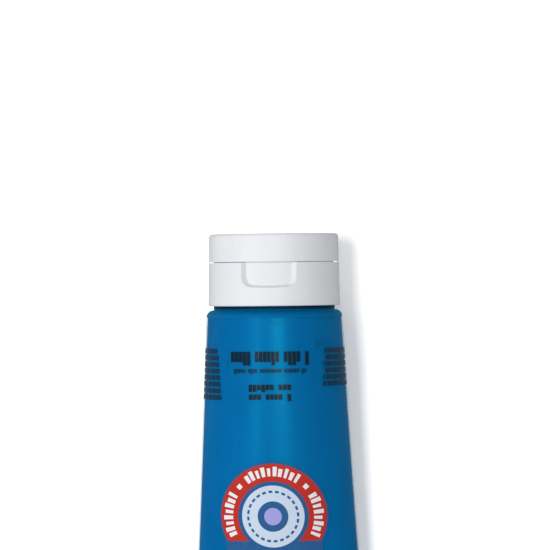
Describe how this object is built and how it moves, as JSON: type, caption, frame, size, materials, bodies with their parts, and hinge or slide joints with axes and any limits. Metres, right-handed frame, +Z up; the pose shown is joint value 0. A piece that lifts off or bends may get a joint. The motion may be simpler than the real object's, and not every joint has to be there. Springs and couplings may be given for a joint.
{
  "type": "paint tube",
  "caption": "Clear squeeze tube filled with turquoise blue acrylic paint, lying on its back, with a white screw-on flip-top cap whose lid hinges at the back.",
  "frame": {"origin": "centre of the tube's outline on the surface that it lies on", "axes": "+Y along the tube towards the cap, +Z up out of the printed front, +X to the right seen from above with the cap at the top"},
  "size_m": [0.0786, 0.2084, 0.05],
  "materials": {
    "sleeve_clear": "clear, glossy",
    "head_natural": "natural, translucent",
    "seal_foil": "bright foil",
    "paint_blue": "wet paint",
    "liner_foam": "fine foam",
    "cap_white": "satin moulded",
    "lid_white": "satin moulded",
    "hinge_white": "satin moulded, thin"
  },
  "bodies": {
    "tube": {"tube_sleeve": "sleeve_clear", "tube_head": "head_natural", "neck_seal": "seal_foil", "paint_fill": "paint_blue"},
    "liner": {"cap_liner": "liner_foam"},
    "cap": {"cap_base": "cap_white", "hinge_film_left": "hinge_white", "hinge_film_right": "hinge_white", "hinge_snap_strap": "hinge_white"},
    "lid": {"cap_lid": "lid_white"}
  },
  "joints": [
    {"name": "cap_rise", "type": "slide", "parent": "tube", "child": "liner", "axis": [0, 1, 0], "range_m": [0, 0.006]},
    {"name": "cap_turn", "type": "hinge", "parent": "liner", "child": "cap", "pos_m": [0, 0.08, 0.025], "axis": [0, 1, 0], "range_deg": [0, 719.9]},
    {"name": "lid_open", "type": "hinge", "parent": "cap", "child": "lid", "pos_m": [0, 0.0939, 0.0017], "axis": [-1, 0, 0], "range_deg": [0, 160], "deforming": ["hinge_film_left", "hinge_film_right", "hinge_snap_strap"]}
  ],
  "couplings": [
    {"joint": "cap_rise", "follows": "cap_turn", "m_per_rad": 0.00047746}
  ]
}
